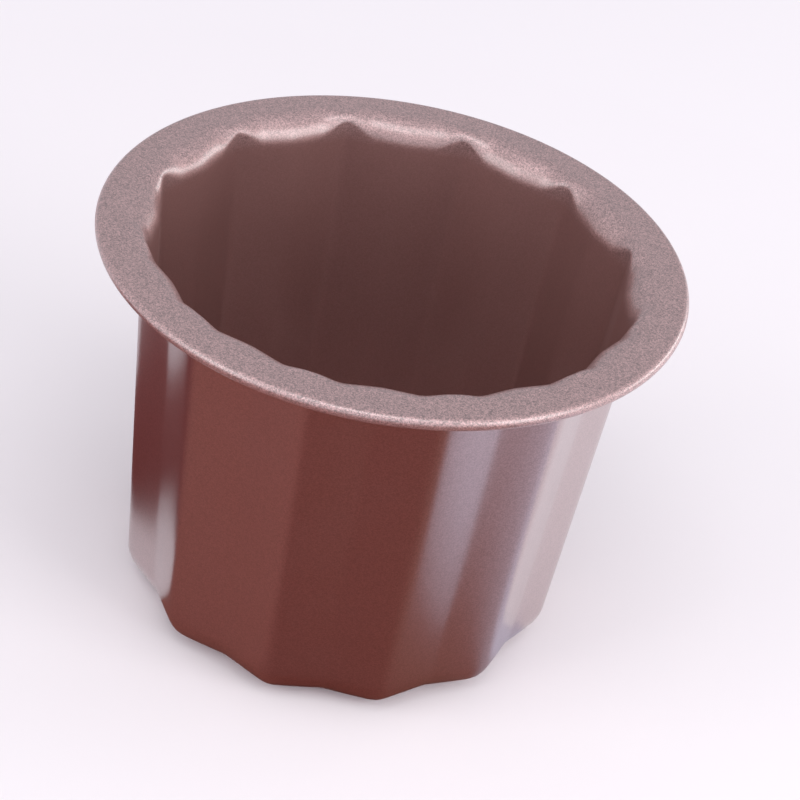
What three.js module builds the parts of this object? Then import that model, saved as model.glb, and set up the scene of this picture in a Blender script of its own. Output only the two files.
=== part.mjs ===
// Fluted mould cup: one deep-drawn steel sheet with twelve flutes, a flat flange and a hemmed edge,
// sprayed with a release coat on its upper face and a plain coat on its lower face.
// Millimetres, +Z up. The origin is the middle of the base underside, and a ridge lies on +X.

import * as THREE from 'three';
import { mergeGeometries } from 'three/addons/utils/BufferGeometryUtils.js';

// Height over all
const HEIGHT = 50.5;

// Wall, on the steel's inner face: the ridges' diameter is where their lines meet the flange
const RIDGE_DIAMETER = 58.7;
const WALL_TAPER = THREE.MathUtils.degToRad(3.3);
const BASE_CORNER_RADIUS = 4.8;

// Flange, from the ridges' diameter to the outside of the hem
const FLANGE_WIDTH = 5.65;

// Flutes: how far the wall between two ridges is pushed in, and how full its curve is.
// The rounding of a ridge is a share of half a flute.
const FLUTE_COUNT = 12;
const FLUTE_DEPTH = 1.5;
const FLUTE_FULLNESS = 1.5;
const RIDGE_ROUNDING = 0.07;

// Mouth: bend radius from the wall to the flange, on a ridge and over a flute,
// and the share of half a flute in which the first widens to the second
const RIDGE_MOUTH_BEND = 1.1;
const FLUTE_MOUTH_BEND = 3.2;
const MOUTH_BLEND = 0.5;

// Sheet and coats
const SHEET_THICKNESS = 0.5;
const INNER_COAT_THICKNESS = 0.04;
const OUTER_COAT_THICKNESS = 0.03;

// Hem: the edge is folded under, leaving a slit, and returns this far past the bend
const HEM_SLIT = 0.36;
const HEM_RETURN = 1.6;

// Facets: stations round one flute, as shares of it, and steps along each bend
const FLUTE_STATIONS = [0, 0.07, 0.22, 0.5, 0.78, 0.93];
const CORNER_STEPS = 3;
const MOUTH_STEPS = 3;
const HEM_STEPS = 4;

// Levels and radii of the steel's upper face
const FLANGE_LEVEL = HEIGHT - INNER_COAT_THICKNESS;
const FLOOR_LEVEL = SHEET_THICKNESS + OUTER_COAT_THICKNESS;
const RIM_RADIUS = RIDGE_DIAMETER / 2 + FLANGE_WIDTH;
const HEM_RADIUS = HEM_SLIT / 2 + OUTER_COAT_THICKNESS + SHEET_THICKNESS;
const HEM_CENTRE = RIM_RADIUS - INNER_COAT_THICKNESS - HEM_RADIUS;

const FLUTE_ANGLE = (2 * Math.PI) / FLUTE_COUNT;
const TURN_STEP = 1e-4;
const CUP_AXIS = new THREE.Vector3(0, 0, 1);

// Angles round the cup, ridge by ridge, ending where they began
function flutedTurns() {
  const turns = [];
  for (let flute = 0; flute < FLUTE_COUNT; flute++) {
    for (const share of FLUTE_STATIONS) turns.push((flute + share) * FLUTE_ANGLE);
  }
  turns.push(2 * Math.PI);
  return turns;
}

// How far an angle lies from its nearest ridge: 0 on the ridge, 1 half-way between two ridges
function ridgeDistance(turn) {
  const share = turn / FLUTE_ANGLE;
  return 2 * Math.abs(share - Math.round(share));
}

// How far the wall is pushed in: nothing on a ridge, all of the depth half-way between two.
// Near a ridge the distance is rounded off, so that the ridge is an arc and not a crease.
function flutePush(distance) {
  const rounded = Math.hypot(distance, RIDGE_ROUNDING) - RIDGE_ROUNDING;
  const across = rounded / (Math.hypot(1, RIDGE_ROUNDING) - RIDGE_ROUNDING);
  return FLUTE_DEPTH * (1 - (1 - across) ** FLUTE_FULLNESS);
}

// Radius of the bend from the wall to the flange: tight on a ridge, wide over a flute
function mouthBend(distance) {
  const widening = THREE.MathUtils.smoothstep(distance, 0, MOUTH_BLEND);
  return THREE.MathUtils.lerp(RIDGE_MOUTH_BEND, FLUTE_MOUTH_BEND, widening);
}

// Points of a bend: each has its radius, its level and the direction in which the sheet runs there
function bend(centreRadius, centreLevel, radius, fromAngle, toAngle, steps) {
  const turning = Math.sign(toAngle - fromAngle) * (Math.PI / 2);
  return Array.from({ length: steps + 1 }, (_, step) => {
    const angle = THREE.MathUtils.lerp(fromAngle, toAngle, step / steps);
    return {
      radius: centreRadius + radius * Math.cos(angle),
      level: centreLevel + radius * Math.sin(angle),
      heading: angle + turning,
    };
  });
}

// The steel's upper face in the half-plane at an angle, from the middle of the floor, up the wall,
// over the mouth, along the flange and round the hem to its cut edge
function sheetProfile(turn) {
  const distance = ridgeDistance(turn);
  const wallTop = RIDGE_DIAMETER / 2 - flutePush(distance);
  const wallRadius = (level) => wallTop - (FLANGE_LEVEL - level) * Math.tan(WALL_TAPER);
  const cornerLevel = FLOOR_LEVEL + BASE_CORNER_RADIUS;
  const cornerCentre = wallRadius(cornerLevel) - BASE_CORNER_RADIUS / Math.cos(WALL_TAPER);
  const mouthRadius = mouthBend(distance);
  const mouthLevel = FLANGE_LEVEL - mouthRadius;
  const mouthCentre = wallTop + mouthRadius * (1 / Math.cos(WALL_TAPER) - Math.tan(WALL_TAPER));
  const hemLevel = FLANGE_LEVEL - HEM_RADIUS;
  const outwards = -WALL_TAPER;
  const inwards = Math.PI - WALL_TAPER;
  const upwards = Math.PI / 2;
  const downwards = -Math.PI / 2;
  return [
    { radius: 0, level: FLOOR_LEVEL, heading: 0 },
    ...bend(cornerCentre, cornerLevel, BASE_CORNER_RADIUS, downwards, outwards, CORNER_STEPS),
    ...bend(mouthCentre, mouthLevel, mouthRadius, inwards, upwards, MOUTH_STEPS),
    ...bend(HEM_CENTRE, hemLevel, HEM_RADIUS, upwards, downwards, HEM_STEPS),
    { radius: HEM_CENTRE - HEM_RETURN, level: hemLevel - HEM_RADIUS, heading: Math.PI },
  ];
}

// One line of the sheet at an angle, moved along the sheet's own normal:
// up through the release coat, or down through the steel
function sheetLine(turn, offset) {
  const ahead = sheetProfile(turn + TURN_STEP);
  const behind = sheetProfile(turn - TURN_STEP);
  return sheetProfile(turn).map(({ radius, level, heading }, station) => {
    const along = new THREE.Vector3(Math.cos(heading), 0, Math.sin(heading));
    const round = new THREE.Vector3(
      (ahead[station].radius - behind[station].radius) / (2 * TURN_STEP),
      Math.max(radius, TURN_STEP),
      (ahead[station].level - behind[station].level) / (2 * TURN_STEP),
    );
    const normal = along.cross(round).normalize();
    return new THREE.Vector3(radius, 0, level)
      .addScaledVector(normal, offset)
      .applyAxisAngle(CUP_AXIS, turn);
  });
}

// A lathed grid whose points are then set line by line, so that it follows the flutes
function lathedFace(lines) {
  const outline = lines[0].map((point) => new THREE.Vector2(Math.abs(point.x), point.z));
  const face = new THREE.LatheGeometry(outline, lines.length - 1);
  lines.flat().forEach((point, index) => face.attributes.position.setXYZ(index, ...point));
  return face;
}

// The same face seen from its other side: the first two corners of each triangle change places
function turnedOver(face) {
  for (let corner = 0; corner < face.index.count; corner += 3) {
    const first = face.index.getX(corner);
    face.index.setX(corner, face.index.getX(corner + 1));
    face.index.setX(corner + 1, first);
  }
  return face;
}

// A closed layer between two offsets of the sheet: its upper face, its lower face and its cut edge
function layerGeometry(upperOffset, lowerOffset) {
  const upper = flutedTurns().map((turn) => sheetLine(turn, upperOffset));
  const lower = flutedTurns().map((turn) => sheetLine(turn, lowerOffset));
  const edge = lower.map((line, turn) => [line.at(-1), upper[turn].at(-1)]);
  const geometry = mergeGeometries([turnedOver(lathedFace(upper)), lathedFace(lower), lathedFace(edge)]);
  geometry.computeVertexNormals();
  return geometry;
}

function layer(name, upperOffset, lowerOffset, material) {
  const mesh = new THREE.Mesh(layerGeometry(upperOffset, lowerOffset), material);
  mesh.name = name;
  return mesh;
}

const steel = new THREE.MeshStandardMaterial({ color: 0x8d8b8a, roughness: 0.45, metalness: 1 });
const releaseCoat = new THREE.MeshStandardMaterial({ color: 0xa89392, roughness: 0.46, metalness: 1 });
const plainCoat = new THREE.MeshStandardMaterial({ color: 0xa68f90, roughness: 0.44, metalness: 1 });

const cup = new THREE.Group();
cup.add(
  layer('steel_body', 0, -SHEET_THICKNESS, steel),
  layer('inner_release_coat', INNER_COAT_THICKNESS, 0, releaseCoat),
  layer('outer_coat', -SHEET_THICKNESS, -SHEET_THICKNESS - OUTER_COAT_THICKNESS, plainCoat),
);

export default cup;
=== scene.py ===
# %% [markdown]
# A fluted baking mould cup
#
# The object is one deep cup of pressed steel sheet with twelve flutes, a flat flange and a hemmed edge.
# A rose-champagne metallic coat covers it inside and out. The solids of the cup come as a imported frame,
# and everything below is made around that frame, in metres, with the origin under the middle of the base.

# %% Load the frame
import math

import bpy
import numpy as np
from mathutils import Matrix, Quaternion, Vector


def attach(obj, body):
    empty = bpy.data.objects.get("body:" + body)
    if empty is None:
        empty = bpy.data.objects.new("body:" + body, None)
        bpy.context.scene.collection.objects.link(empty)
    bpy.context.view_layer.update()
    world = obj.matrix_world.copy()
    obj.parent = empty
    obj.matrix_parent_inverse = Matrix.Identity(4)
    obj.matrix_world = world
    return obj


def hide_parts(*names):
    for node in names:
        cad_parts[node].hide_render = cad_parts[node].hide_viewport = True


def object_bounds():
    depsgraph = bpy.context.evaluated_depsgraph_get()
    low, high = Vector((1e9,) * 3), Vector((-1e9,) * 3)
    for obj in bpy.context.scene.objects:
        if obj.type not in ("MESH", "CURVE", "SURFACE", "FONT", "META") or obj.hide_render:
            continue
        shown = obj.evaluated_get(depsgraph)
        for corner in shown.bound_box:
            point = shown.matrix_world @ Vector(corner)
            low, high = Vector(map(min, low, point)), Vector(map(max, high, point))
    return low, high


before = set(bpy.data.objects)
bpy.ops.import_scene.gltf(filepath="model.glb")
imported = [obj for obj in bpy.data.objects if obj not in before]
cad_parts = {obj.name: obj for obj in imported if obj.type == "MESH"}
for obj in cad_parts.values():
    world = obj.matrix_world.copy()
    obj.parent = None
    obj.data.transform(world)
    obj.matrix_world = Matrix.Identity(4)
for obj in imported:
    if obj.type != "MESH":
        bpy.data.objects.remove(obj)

MM = 0.001
cad_box = [list(corner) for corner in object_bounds()]
HEIGHT = cad_box[1][2]
RIM_RADIUS = cad_box[1][0]
print(f"solids of the frame: {', '.join(sorted(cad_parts))}")
print(f"cup: {2 * RIM_RADIUS / MM:.1f} mm over the flange, {HEIGHT / MM:.1f} mm high")

# %% [markdown]
# Camera
#
# The camera comes first. It could be placed by hand and nudged, but a measured view is steadier: the flange
# is a circle, so its outline gives the distance, the height and the tilt of the camera. The camera is first
# aimed at the middle of the hem, then rolled, and then turned until that middle falls on its pixel, which
# needs no lens shift.

# %% Measured view
IMAGE_SIZE = 800
FOCAL_PIXELS = 2325.4
VIEW_DISTANCE = 272.7 * MM
VIEW_AZIMUTH = math.radians(12.36)
VIEW_ELEVATION = math.radians(31.45)
VIEW_ROLL = math.radians(10.65)
HEM_MIDDLE_PIXEL = (395.5, 247.1)
HEM_HALF_HEIGHT = 0.75 * MM


def direction(azimuth, elevation):
    """Unit vector away from the cup: azimuth 0 is the front, -Y, and it grows to the right, towards +X."""
    return Vector((
        math.sin(azimuth) * math.cos(elevation),
        -math.cos(azimuth) * math.cos(elevation),
        math.sin(elevation),
    ))


hem_middle = Vector((0, 0, HEIGHT - HEM_HALF_HEIGHT))
towards_camera = direction(VIEW_AZIMUTH, VIEW_ELEVATION)
pixel_ray = Vector((
    (HEM_MIDDLE_PIXEL[0] - IMAGE_SIZE / 2) / FOCAL_PIXELS,
    (IMAGE_SIZE / 2 - HEM_MIDDLE_PIXEL[1]) / FOCAL_PIXELS,
    -1,
))
aimed = towards_camera.to_track_quat("Z", "Y")
rolled = aimed @ Quaternion((0, 0, 1), VIEW_ROLL)
turned = rolled @ Vector((0, 0, -1)).rotation_difference(pixel_ray).inverted()
print(f"view: {math.degrees(VIEW_ELEVATION):.1f} degrees down on the flange")

# %% Place the camera
SENSOR_WIDTH = 36.0
CLIP_START = 10 * MM

camera = bpy.data.objects.new("camera", bpy.data.cameras.new("camera"))
bpy.context.collection.objects.link(camera)
camera.data.sensor_width = SENSOR_WIDTH
camera.data.lens = FOCAL_PIXELS / IMAGE_SIZE * SENSOR_WIDTH
camera.data.clip_start = CLIP_START
camera.matrix_world = (
    Matrix.Translation(hem_middle + towards_camera * VIEW_DISTANCE) @ turned.to_matrix().to_4x4()
)
bpy.context.scene.camera = camera
print(f"camera: {camera.data.lens:.1f} mm lens, {VIEW_DISTANCE / MM:.0f} mm from the hem's middle")

# %% [markdown]
# The flutes
#
# Seen from above, the wall is a ring that twelve presses have pushed inwards. The ridges between them keep
# the ring's radius. One could model a single flute and repeat it with an array, but then the seams have to be
# joined. Here the push is a function of the angle, so that the whole ring is one smooth surface.

# %% Push of the wall and bend of the mouth
FLUTE_COUNT = 12
FLUTE_DEPTH = 1.5 * MM
FLUTE_FULLNESS = 1.5
RIDGE_ROUNDING = 0.07
RIDGE_MOUTH_BEND = 1.1 * MM
FLUTE_MOUTH_BEND = 3.2 * MM
MOUTH_BLEND = 0.5


def ridge_distance(turn):
    """Distance of an angle from its nearest ridge: 0 on the ridge, 1 half-way between two ridges."""
    share = turn * FLUTE_COUNT / (2 * np.pi)
    return 2 * np.abs(share - np.round(share))


def flute_push(distance):
    """Depth times 1 - (1 - d)^fullness, where d is the distance, rounded off at 0 by a hyperbola."""
    rounded = np.hypot(distance, RIDGE_ROUNDING) - RIDGE_ROUNDING
    across = rounded / (np.hypot(1, RIDGE_ROUNDING) - RIDGE_ROUNDING)
    return FLUTE_DEPTH * (1 - np.maximum(1 - across, 0) ** FLUTE_FULLNESS)


def mouth_bend(distance):
    """Bend radius of the mouth: tight on a ridge, widening by a smooth step to its full size over a flute."""
    step = np.clip(distance / MOUTH_BLEND, 0, 1)
    return RIDGE_MOUTH_BEND + (FLUTE_MOUTH_BEND - RIDGE_MOUTH_BEND) * step**2 * (3 - 2 * step)


print(f"flutes: {FLUTE_COUNT}, pushed in by {flute_push(1.0) / MM:.2f} mm")

# %% [markdown]
# The sheet
#
# A half-plane through the axis cuts the sheet in one line: floor, bottom corner, wall, mouth, flange, hem and
# the short leg under it. The line could be drawn as a curve and spun, but a spun line has no flutes. Here it
# is made of straight stretches and arcs, and every point also gets the direction in which the line runs
# there. The flutes only change two numbers of it, the wall's radius and the mouth's bend.

# %% Straight stretches and arcs
def straight(start, end, heading, count):
    """Points on the way from start to end, both left out: start plus a share of the difference."""
    share = np.linspace(0, 1, count + 2)[None, 1:-1]
    radius = start[0] + (end[0] - start[0]) * share
    level = start[1] + (end[1] - start[1]) * share
    return np.stack(np.broadcast_arrays(radius, level, heading))


def arc(centre, size, start, end, count):
    """Points of an arc: centre plus size times cosine and sine. The line runs square to the arc's radius."""
    angle = np.linspace(start, end, count)[None]
    radius = centre[0] + size * np.cos(angle)
    level = centre[1] + size * np.sin(angle)
    heading = angle + math.copysign(np.pi / 2, end - start)
    return np.stack(np.broadcast_arrays(radius, level, heading))


def first(stretch):
    """Radius and level at the start of a stretch."""
    return stretch[:2, :, :1]


def last(stretch):
    """Radius and level at the end of a stretch."""
    return stretch[:2, :, -1:]


quarter = arc((0, 0), 1, 0, np.pi / 2, 4)
print("headings along a quarter of a circle, in degrees:", np.degrees(quarter[2, 0]).round())

# %% Sizes of the sheet
RIDGE_RADIUS = 29.35 * MM
WALL_TAPER = math.radians(3.3)
BASE_CORNER_RADIUS = 4.8 * MM
SHEET_THICKNESS = 0.5 * MM
INNER_COAT = 0.04 * MM
OUTER_COAT = 0.03 * MM
HEM_SLIT = 0.36 * MM
HEM_RETURN = 1.6 * MM

FLANGE_LEVEL = HEIGHT - INNER_COAT
FLOOR_LEVEL = SHEET_THICKNESS + OUTER_COAT
HEM_RADIUS = HEM_SLIT / 2 + OUTER_COAT + SHEET_THICKNESS
HEM_CENTRE = RIM_RADIUS - INNER_COAT - HEM_RADIUS
print(f"hem: bent round {HEM_RADIUS / MM:.2f} mm, {HEM_CENTRE / MM:.2f} mm from the axis")

# %% Line of the sheet at every angle
FLOOR_POINTS = 6
CORNER_POINTS = 16
WALL_POINTS = 24
MOUTH_POINTS = 20
FLANGE_POINTS = 8
HEM_POINTS = 20
LEG_POINTS = 2
TURNS_PER_FLUTE = 30


def sheet_line(turn):
    """Radius, level and heading of the steel's upper face, for each angle and each station along the line."""
    distance = ridge_distance(turn)[:, None]
    zero = np.zeros_like(distance)
    wall_top = RIDGE_RADIUS - flute_push(distance)
    corner_level = FLOOR_LEVEL + BASE_CORNER_RADIUS
    corner_wall = wall_top - (FLANGE_LEVEL - corner_level) * math.tan(WALL_TAPER)
    corner_centre = (corner_wall - BASE_CORNER_RADIUS / math.cos(WALL_TAPER), corner_level)
    corner = arc(corner_centre, BASE_CORNER_RADIUS, -np.pi / 2, -WALL_TAPER, CORNER_POINTS)
    bend = mouth_bend(distance)
    mouth_radius = wall_top + bend * (1 / math.cos(WALL_TAPER) - math.tan(WALL_TAPER))
    mouth = arc((mouth_radius, FLANGE_LEVEL - bend), bend, np.pi - WALL_TAPER, np.pi / 2, MOUTH_POINTS)
    hem_level = FLANGE_LEVEL - HEM_RADIUS
    hem = arc((HEM_CENTRE + zero, hem_level), HEM_RADIUS, np.pi / 2, -np.pi / 2, HEM_POINTS)
    middle = np.stack([zero, FLOOR_LEVEL + zero, zero])
    cut = np.stack([HEM_CENTRE - HEM_RETURN + zero, hem_level - HEM_RADIUS + zero, np.pi + zero])
    return np.concatenate([
        middle,
        straight(middle, first(corner), 0, FLOOR_POINTS), corner,
        straight(last(corner), first(mouth), np.pi / 2 - WALL_TAPER, WALL_POINTS), mouth,
        straight(last(mouth), first(hem), 0, FLANGE_POINTS), hem,
        straight(last(hem), cut, np.pi, LEG_POINTS), cut,
    ], axis=2)


TURN_COUNT = TURNS_PER_FLUTE * FLUTE_COUNT
turns = np.arange(TURN_COUNT) * 2 * np.pi / TURN_COUNT
print(f"sheet: {TURN_COUNT} angles, {sheet_line(turns).shape[2]} stations along each line")

# %% [markdown]
# From a surface to layers
#
# The steel and its two coats are layers of the same sheet. Solidify could thicken a surface, but it doesn't
# give three layers that share their faces exactly. Here the surface is moved along its own normals instead:
# the normal is the cross product of the direction along the line and the direction round the cup, so that a
# coat keeps its thickness on every bend.

# %% Move the sheet along its normals
TURN_STEP = 1e-4
LEAST_RADIUS = 1e-4 * MM


def sheet_surface(offset):
    """Points of the sheet moved along its normal: the line's own direction crossed with the difference of two
    neighbouring lines, both in radial, tangential and upward parts, then turned round the axis."""
    radius, level, heading = sheet_line(turns)
    ahead = sheet_line(turns + TURN_STEP)
    behind = sheet_line(turns - TURN_STEP)
    outwards, upwards = ((ahead - behind) / (2 * TURN_STEP))[:2]
    along = np.stack([np.cos(heading), 0 * heading, np.sin(heading)], axis=-1)
    around = np.stack([outwards, np.maximum(radius, LEAST_RADIUS), upwards], axis=-1)
    normal = np.cross(along, around)
    normal /= np.linalg.norm(normal, axis=-1, keepdims=True)
    point = np.stack([radius, 0 * radius, level], axis=-1) + offset * normal
    cosine, sine = np.cos(turns)[:, None], np.sin(turns)[:, None]
    return np.stack([
        point[..., 0] * cosine - point[..., 1] * sine,
        point[..., 0] * sine + point[..., 1] * cosine,
        point[..., 2],
    ], axis=-1)


print(f"flange: {sheet_surface(INNER_COAT)[..., 2].max() / MM:.2f} mm high on its coat")

# %% [markdown]
# Closing a layer
#
# A film without an inside would do for a picture, but not for a solid that can be cut or printed. So a layer
# is a ring of quads that runs out along its upper face, round the hem's cut edge and back along its lower
# face. A fan of triangles closes it at each pole. Only the edges that turn sharply are shaded as edges.

# %% Steel, release coat and outer coat
SHARP_ANGLE = math.radians(45)


def new_object(name, points, faces):
    """An object at the origin, with its place in its mesh."""
    mesh = bpy.data.meshes.new(name)
    mesh.from_pydata(points, [], faces)
    made = bpy.data.objects.new(name, mesh)
    bpy.context.collection.objects.link(made)
    return made


def closed_layer(name, upper_offset, lower_offset):
    """A mesh of rings, out along the upper face and back along the lower one, with a fan at each pole."""
    upper = sheet_surface(upper_offset)
    lower = sheet_surface(lower_offset)[:, ::-1]
    rings = np.concatenate([upper[:, 1:], lower[:, :-1]], axis=1)
    ring_count = rings.shape[1]
    points = np.concatenate([rings.reshape(-1, 3), upper[:1, 0], lower[:1, -1]])
    top, bottom = len(points) - 2, len(points) - 1
    here = np.arange(TURN_COUNT)[:, None] * ring_count
    there = np.roll(here, -1, axis=0)
    step = np.arange(ring_count - 1)[None]
    quads = np.stack([here + step, here + step + 1, there + step + 1, there + step], axis=-1).reshape(-1, 4)
    near, far = here[:, 0], there[:, 0]
    fans = np.concatenate([
        np.stack([np.full(TURN_COUNT, top), near, far], axis=1),
        np.stack([np.full(TURN_COUNT, bottom), far + ring_count - 1, near + ring_count - 1], axis=1),
    ])
    layer = new_object(name, points, quads.tolist() + fans.tolist())
    layer.data.shade_smooth()
    layer.data.set_sharp_from_angle(angle=SHARP_ANGLE)
    print(f"{name}: {2 * len(quads) + len(fans)} triangles")
    return layer


steel_sheet = closed_layer("drawn_steel_sheet", 0, -SHEET_THICKNESS)
release_film = closed_layer("release_coat_film", INNER_COAT, 0)
outer_film = closed_layer("outer_coat_film", -SHEET_THICKNESS, -SHEET_THICKNESS - OUTER_COAT)

# %% [markdown]
# Ride on the frame
#
# Each layer takes the place of its solid: the solid is hidden and stays for the physics, and the layer
# moves with the cup's one body.

# %% Tie the layers to the frame
LAYERS = [
    (steel_sheet, "steel_body", "drawn_steel"),
    (release_film, "inner_release_coat", "release_coat"),
    (outer_film, "outer_coat", "plain_coat"),
]
for layer, solid, slot in LAYERS:
    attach(layer, "root")
    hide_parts(solid)
    print(f"{layer.name} stands for {solid}")

# %% [markdown]
# Helpers for the finishes
#
# A finish is a tree of nodes. It could be built by hand in the shader editor, but a script can be read and
# changed later. A few helpers keep the trees below short: one makes a node, one links two sockets, and the
# others are the steps that every finish needs, such as a noise of a given grain.

# %% Nodes, links, ramps and noise
def new_finish(name):
    """A new material, the tree of its nodes and its shader."""
    material = bpy.data.materials.new(name)
    material.use_nodes = True
    return material, material.node_tree, material.node_tree.nodes["Principled BSDF"]


def node(tree, kind, **settings):
    """A new node, with its own settings given by name."""
    made = tree.nodes.new(kind)
    for setting, value in settings.items():
        setattr(made, setting, value)
    return made


def join(tree, source, target):
    """A link from an output to an input."""
    tree.links.new(source, target)


def object_place(tree):
    """Coordinates of the object itself, which are metres in the cup's frame."""
    return node(tree, "ShaderNodeTexCoord").outputs["Object"]


def noise(tree, place, grain, detail=2):
    """Soft noise about 0.5, whose lumps are about as wide as the grain."""
    lumps = node(tree, "ShaderNodeTexNoise")
    lumps.inputs["Scale"].default_value = 1 / grain
    lumps.inputs["Detail"].default_value = detail
    join(tree, place, lumps.inputs["Vector"])
    return lumps.outputs["Fac"]


def ramp_between(tree, factor, low, high):
    """A colour ramp from the low colour at 0 to the high colour at 1."""
    ramp = node(tree, "ShaderNodeValToRGB")
    ramp.color_ramp.elements[0].color = (*low, 1)
    ramp.color_ramp.elements[1].color = (*high, 1)
    join(tree, factor, ramp.inputs["Fac"])
    return ramp.outputs["Color"]


def remap(tree, value, low, high, start=0, end=1):
    """The value, which runs from start to end, carried over to the range from low to high."""
    spread = node(tree, "ShaderNodeMapRange")
    spread.inputs["From Min"].default_value = start
    spread.inputs["From Max"].default_value = end
    spread.inputs["To Min"].default_value = low
    spread.inputs["To Max"].default_value = high
    join(tree, value, spread.inputs["Value"])
    return spread.outputs["Result"]


# %% [markdown]
# The metallic coat
#
# The coat is a clear resin with fine metal flakes in it. From afar it is a satin rose-champagne metal, and
# close up it glitters, because every flake lies at its own small tilt. A single noise bump would look like
# sand. A Voronoi texture is closer to the real thing: each cell is one flake, and its random colour tilts the
# flake's normal and sets its tone.

# %% Flakes
FLAKE_SIZE = 0.12 * MM
MEAN_COLOUR = (0.5, 0.5, 0.5)


def flake_cells(tree, place):
    """A Voronoi texture, with one cell for each flake and a random colour in each cell."""
    flakes = node(tree, "ShaderNodeTexVoronoi")
    flakes.inputs["Scale"].default_value = 1 / FLAKE_SIZE
    join(tree, place, flakes.inputs["Vector"])
    return flakes.outputs["Color"]


def flake_normal(tree, cells, amount, skin):
    """The skin's normal plus an amount of the cell's colour less its mean, made a unit vector again."""
    centred = node(tree, "ShaderNodeVectorMath", operation="SUBTRACT")
    centred.inputs[1].default_value = MEAN_COLOUR
    join(tree, cells, centred.inputs[0])
    tilt = node(tree, "ShaderNodeVectorMath", operation="SCALE")
    join(tree, centred.outputs["Vector"], tilt.inputs[0])
    join(tree, amount, tilt.inputs["Scale"])
    tilted = node(tree, "ShaderNodeVectorMath", operation="ADD")
    join(tree, tilt.outputs["Vector"], tilted.inputs[0])
    join(tree, skin, tilted.inputs[1])
    facing = node(tree, "ShaderNodeVectorMath", operation="NORMALIZE")
    join(tree, tilted.outputs["Vector"], facing.inputs[0])
    return facing.outputs["Vector"]


print(f"flakes: {FLAKE_SIZE / MM:.2f} mm wide")

# %% [markdown]
# Resin over the flakes
#
# The resin is the shader's own coat, and it draws the whitish glints. A sprayed film is never quite level, so
# a fine noise gives it a faint orange peel. On the steep walls the flakes lie flatter. Inside the cup the
# tone of the walls is darker and redder than the flakes: partly the resin's own tint and partly painted shade
# of the dim inside. A mask could be painted for that, but the height alone tells the places apart: it runs up
# over the bend of the mouth, from the tone of the walls to the full glitter of the flange. So the painted
# shade also darkens the underside of the hem and the low part of the mouth's bend, where it keeps the glint
# high.

# %% Orange peel, and the way from the walls to the flange
PEEL_SIZE = 1.6 * MM
PEEL_DETAIL = 1
PEEL_STRENGTH = 0.12
PEEL_HEIGHT = 0.02 * MM
# The band where the tone of the walls, inside the cup partly painted shade, gives way to the flakes of the
# flange
SHADE_TO_GLITTER_START = HEIGHT - 3.5 * MM
OPEN_FULL = HEIGHT - 0.4 * MM


def orange_peel(tree, place):
    """The normal of a skin whose height is a fine noise."""
    skin = node(tree, "ShaderNodeBump")
    skin.inputs["Strength"].default_value = PEEL_STRENGTH
    skin.inputs["Distance"].default_value = PEEL_HEIGHT
    join(tree, noise(tree, place, PEEL_SIZE, PEEL_DETAIL), skin.inputs["Height"])
    return skin.outputs["Normal"]


def glitter_and_shade_share(tree, place):
    """0 on the walls, running up over the bend of the mouth to 1 on the flange: a map of the height."""
    height = node(tree, "ShaderNodeSeparateXYZ")
    join(tree, place, height.inputs["Vector"])
    return remap(tree, height.outputs["Z"], 0, 1, SHADE_TO_GLITTER_START, OPEN_FULL)


print(f"full glitter: from {OPEN_FULL / MM:.1f} mm up")

# %% [markdown]
# Inside and outside
#
# Two finishes could be built one by one, but a single recipe with two sets of values keeps them alike. The
# release coat inside is only part metal, because its resin is tinted, and the coat outside is all metal and
# smoother. Slow clouds in the roughness keep large panels from looking like a mirror.

# %% Two coats
RESIN_INDEX = 2.05
RESIN_ROUGHNESS = 0.29
CLOUD_SIZE = 9 * MM
CLOUD_DETAIL = 3
FLANGE_TILT = 0.22


def flake_coat(name, body, dark_flake, pale_flake, metal, roughness, wall_glitter, wall_tilt):
    """Metal flakes under clear resin: each flake has its tilt and tone, and slow clouds set the roughness."""
    material, tree, surface = new_finish(name)
    surface.inputs["Metallic"].default_value = metal
    surface.inputs["Coat Weight"].default_value = 1
    surface.inputs["Coat Roughness"].default_value = RESIN_ROUGHNESS
    surface.inputs["Coat IOR"].default_value = RESIN_INDEX
    place = object_place(tree)
    cells = flake_cells(tree, place)
    glitter_and_shade = glitter_and_shade_share(tree, place)
    skin = orange_peel(tree, place)

    # Base colour: the flakes' tones, blended down the walls into the body tone. Inside the cup that body tone
    # is partly painted shade, also under the hem and low on the mouth's bend.
    tone = node(tree, "ShaderNodeSeparateColor")
    join(tree, cells, tone.inputs["Color"])
    glitter = node(tree, "ShaderNodeMix", data_type="RGBA")
    glitter.inputs["A"].default_value = (*body, 1)
    join(tree, ramp_between(tree, tone.outputs["Red"], dark_flake, pale_flake), glitter.inputs["B"])
    join(tree, remap(tree, glitter_and_shade, wall_glitter, 1), glitter.inputs["Factor"])
    join(tree, glitter.outputs["Result"], surface.inputs["Base Color"])

    clouds = noise(tree, place, CLOUD_SIZE, CLOUD_DETAIL)
    tilt = remap(tree, glitter_and_shade, wall_tilt, FLANGE_TILT)
    join(tree, remap(tree, clouds, *roughness), surface.inputs["Roughness"])
    join(tree, skin, surface.inputs["Coat Normal"])
    join(tree, flake_normal(tree, cells, tilt, skin), surface.inputs["Normal"])
    return material


# Inside, the body is darker and redder than the flakes: partly the resin's tint, partly painted shade of the
# deep inside.
release_film.data.materials.append(flake_coat(
    "release_coat", body=(0.343, 0.162, 0.144),
    dark_flake=(0.224, 0.145, 0.141), pale_flake=(0.675, 0.428, 0.418),
    metal=0.75, roughness=(0.52, 0.60), wall_glitter=0.15, wall_tilt=0.05,
))
outer_film.data.materials.append(flake_coat(
    "plain_coat", body=(0.45, 0.325, 0.325),
    dark_flake=(0.31, 0.22, 0.22), pale_flake=(0.59, 0.43, 0.43),
    metal=1, roughness=(0.30, 0.38), wall_glitter=0.5, wall_tilt=0.06,
))
print(f"coats: {release_film.active_material.name} inside, {outer_film.active_material.name} outside")

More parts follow.
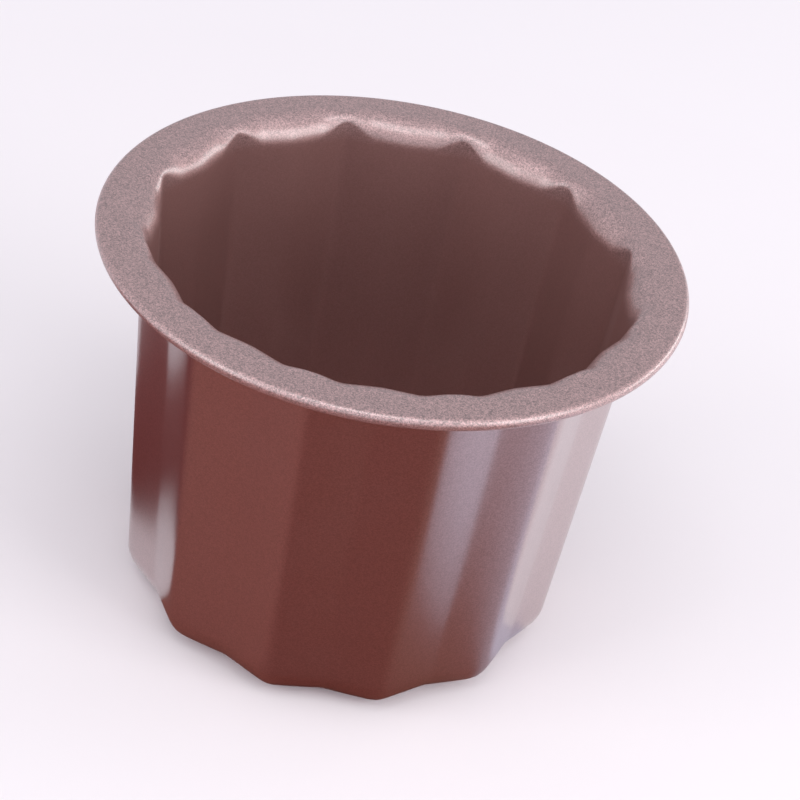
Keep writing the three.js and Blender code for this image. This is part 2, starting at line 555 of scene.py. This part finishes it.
# %% [markdown]
# The drawn steel
#
# The sheet itself only shows at the cut edge inside the hem. It is bare cold-rolled steel with fine lines
# from the rolls. They could be scratched in as geometry, but they are far too fine for that, so a noise
# stretched along one direction gives them.

# %% Rolled steel
ROLL_LINE = 0.08 * MM
ROLL_STRETCH = (0.04, 1, 1)
STEEL_DARK = (0.22, 0.215, 0.21)
STEEL_PALE = (0.34, 0.33, 0.325)
STEEL_ROUGHNESS = (0.35, 0.55)


def rolled_steel():
    """Grey metal with a noise that is stretched along X, in tone and in roughness."""
    material, tree, surface = new_finish("drawn_steel")
    surface.inputs["Metallic"].default_value = 1
    stretch = node(tree, "ShaderNodeMapping")
    stretch.inputs["Scale"].default_value = ROLL_STRETCH
    join(tree, object_place(tree), stretch.inputs["Vector"])
    lines = noise(tree, stretch.outputs["Vector"], ROLL_LINE)
    join(tree, ramp_between(tree, lines, STEEL_DARK, STEEL_PALE), surface.inputs["Base Color"])
    join(tree, remap(tree, lines, *STEEL_ROUGHNESS), surface.inputs["Roughness"])
    return material


steel_sheet.data.materials.append(rolled_steel())
print(f"steel: roll lines of {ROLL_LINE / MM:.2f} mm")

# %% [markdown]
# Floor
#
# The cup stands on a pale, faintly lilac floor. A white picture could come from strong lamps, but then the
# cup would wash out. The floor is nearly white by its own colour instead, and it keeps the cup's soft shadow.

# %% Pale floor
FLOOR_REACH = 3.0
FLOOR_ROUGHNESS = 0.9
FLOOR_GLOSS = 0.1
PAPER_GRAIN = 1 / 3
PAPER_DARK = (0.92, 0.87, 0.89)
PAPER_PALE = (0.94, 0.89, 0.91)


def floor_paper():
    """Matt paper, painted with a slow noise between two near whites."""
    material, tree, surface = new_finish("floor_paper")
    surface.inputs["Roughness"].default_value = FLOOR_ROUGHNESS
    surface.inputs["Specular IOR Level"].default_value = FLOOR_GLOSS
    clouds = noise(tree, object_place(tree), PAPER_GRAIN)
    join(tree, ramp_between(tree, clouds, PAPER_DARK, PAPER_PALE), surface.inputs["Base Color"])
    return material


corners = np.array([(-1, -1, 0), (1, -1, 0), (1, 1, 0), (-1, 1, 0)]) * FLOOR_REACH
floor = new_object("floor", corners, [(0, 1, 2, 3)])
floor.data.materials.append(floor_paper())
print(f"floor: {2 * FLOOR_REACH:.0f} m square")

# %% [markdown]
# Room
#
# A pale room gives light from all sides. A single grey world would do, but the flat flange mirrors the back
# of the room, and the top of the far wall inside is lit from the front. So the room is graded from a dimmer
# back to a brighter front: its strength follows how far a direction leans to the front.

# %% Graded room
ROOM_COLOUR = (0.98, 0.985, 1.06, 1)
ROOM_LOW = 0.46
ROOM_HIGH = 0.93
ROOM_SIDE = (0.2, -0.95, 0.1)

room = bpy.data.worlds.new("room")
room.use_nodes = True
room_tree = room.node_tree
backdrop = room_tree.nodes["Background"]
backdrop.inputs["Color"].default_value = ROOM_COLOUR
lean = node(room_tree, "ShaderNodeVectorMath", operation="DOT_PRODUCT")
lean.inputs[1].default_value = ROOM_SIDE
join(room_tree, node(room_tree, "ShaderNodeTexCoord").outputs["Generated"], lean.inputs[0])
strength = remap(room_tree, lean.outputs["Value"], ROOM_LOW, ROOM_HIGH, start=-1)
join(room_tree, strength, backdrop.inputs["Strength"])
bpy.context.scene.world = room
bpy.context.scene.view_settings.view_transform = "Standard"
print(f"room: strength {ROOM_LOW} at the back to {ROOM_HIGH} at the front")

# %% [markdown]
# Soft boxes
#
# Three large soft boxes draw the glints: one high above the camera for the bends of the mouth and the line
# along the hem, and one lower on each side. A low window behind, to the right, brightens the far panels of
# the outside. Small lamps would give hard sparks, where the real coat shows broad, soft glints.

# %% Lamps round the cup
BOX_DISTANCE = 0.62

# Name, degrees to the right of the camera, degrees up, width and height in metres, watts
SOFT_BOXES = [
    ("front_soft_box", 0, 66, 0.40, 0.34, 0.81),
    ("left_soft_box", -58, 27, 0.34, 0.42, 0.72),
    ("right_soft_box", 62, 27, 0.34, 0.42, 1.16),
    ("window", 118, 9, 0.50, 0.16, 0.80),
]


def soft_box(name, azimuth, elevation, width, height, power):
    """A rectangular lamp on a sphere round the cup, turned to the middle of the hem."""
    lamp = bpy.data.lights.new(name, "AREA")
    lamp.shape = "RECTANGLE"
    lamp.size = width
    lamp.size_y = height
    lamp.energy = power
    holder = bpy.data.objects.new(name, lamp)
    bpy.context.collection.objects.link(holder)
    away = direction(VIEW_AZIMUTH + math.radians(azimuth), math.radians(elevation))
    holder.location = hem_middle + away * BOX_DISTANCE
    holder.rotation_euler = away.to_track_quat("Z", "Y").to_euler()
    print(f"{name}: {power:.2f} W, {elevation} degrees up")


for box in SOFT_BOXES:
    soft_box(*box)

# %% [markdown]
# A brown card
#
# Metal shows what stands around it. On a white floor the outside of the cup would be as pale as the flange,
# where a cup in use stands among darker things. The coat could be painted darker, but then it would be wrong
# in other light. A brown card on the floor gives the outside its deeper tone. It is a strip round the cup,
# left open at the right, and each panel of the wall mirrors its own stretch of it: so its edges are a table
# by angle, with a near and a far radius in millimetres.

# %% Strip round the cup
CARD_STATIONS = 150
CARD_LEVEL = 1.0 * MM

# Degrees from +X, then the near and the far radius in millimetres
CARD_OUTLINE = np.array([
    (-305, 24, 150), (-212, 24, 150), (-200, 36, 57), (-185, 36, 57), (-181, 36, 150),
    (-144, 36, 150), (-134, 24, 500), (-38, 24, 500), (-24, 24, 150), (-3, 24, 150),
])


def ring_sector(name, outline):
    """A flat strip round the axis: at each angle it runs from the outline's near radius to its far one."""
    degrees = np.linspace(outline[0, 0], outline[-1, 0], CARD_STATIONS)
    angle = np.radians(degrees)
    near = np.interp(degrees, outline[:, 0], outline[:, 1]) * MM
    far = np.interp(degrees, outline[:, 0], outline[:, 2]) * MM
    radius = np.stack([near, far])
    points = np.stack([radius * np.cos(angle), radius * np.sin(angle), CARD_LEVEL + 0 * radius], axis=-1)
    inner = np.arange(CARD_STATIONS - 1)
    outer = inner + CARD_STATIONS
    quads = np.stack([inner, outer, outer + 1, inner + 1], axis=1)
    return new_object(name, points.reshape(-1, 3), quads.tolist())


card = ring_sector("brown_card", CARD_OUTLINE)
print(f"card: {len(card.data.polygons)} quads")

# %% [markdown]
# The card's tones
#
# The card is browner in front and paler to the right. One flat brown would make all panels of the wall alike,
# so a gradient round the axis runs through a table of tones by angle. Ray visibility keeps the card out of
# the picture and takes its shadow away: only reflections see it.

# %% Paint and hide the card
# Degrees from +X and the tone there
CARD_TONES = [
    (-180, (0.188, 0.031, 0.027)),
    (-155, (0.188, 0.031, 0.027)),
    (-135, (0.312, 0.103, 0.079)),
    (-102, (0.312, 0.103, 0.079)),
    (-85, (0.215, 0.051, 0.035)),
    (-62, (0.225, 0.059, 0.040)),
    (-42, (0.269, 0.098, 0.070)),
    (-31, (0.294, 0.119, 0.098)),
    (-27, (0.463, 0.375, 0.413)),
    (-22, (0.463, 0.375, 0.413)),
    (-15, (0.675, 0.663, 0.775)),
    (0, (0.675, 0.663, 0.775)),
    (55, (0.188, 0.025, 0.013)),
    (100, (0.256, 0.068, 0.048)),
    (145, (0.256, 0.068, 0.048)),
    (155, (0.188, 0.031, 0.027)),
    (180, (0.188, 0.031, 0.027)),
]


def card_paint():
    """Matt paint whose tone follows the angle round the axis, from half a turn back to half a turn ahead."""
    material, tree, surface = new_finish("brown_card")
    surface.inputs["Roughness"].default_value = 1
    angle_share = node(tree, "ShaderNodeTexGradient", gradient_type="RADIAL")
    join(tree, object_place(tree), angle_share.inputs["Vector"])
    tones = ramp_between(tree, angle_share.outputs["Fac"], CARD_TONES[0][1], CARD_TONES[-1][1])
    stops = tones.node.color_ramp.elements
    for degrees, tone in CARD_TONES[1:-1]:
        stops.new(degrees / 360 + 0.5).color = (*tone, 1)
    join(tree, tones, surface.inputs["Base Color"])
    return material


card.data.materials.append(card_paint())
card.visible_camera = False
card.visible_diffuse = False
card.visible_shadow = False
card.visible_transmission = False
print(f"card paint: {len(CARD_TONES)} tones round the axis")
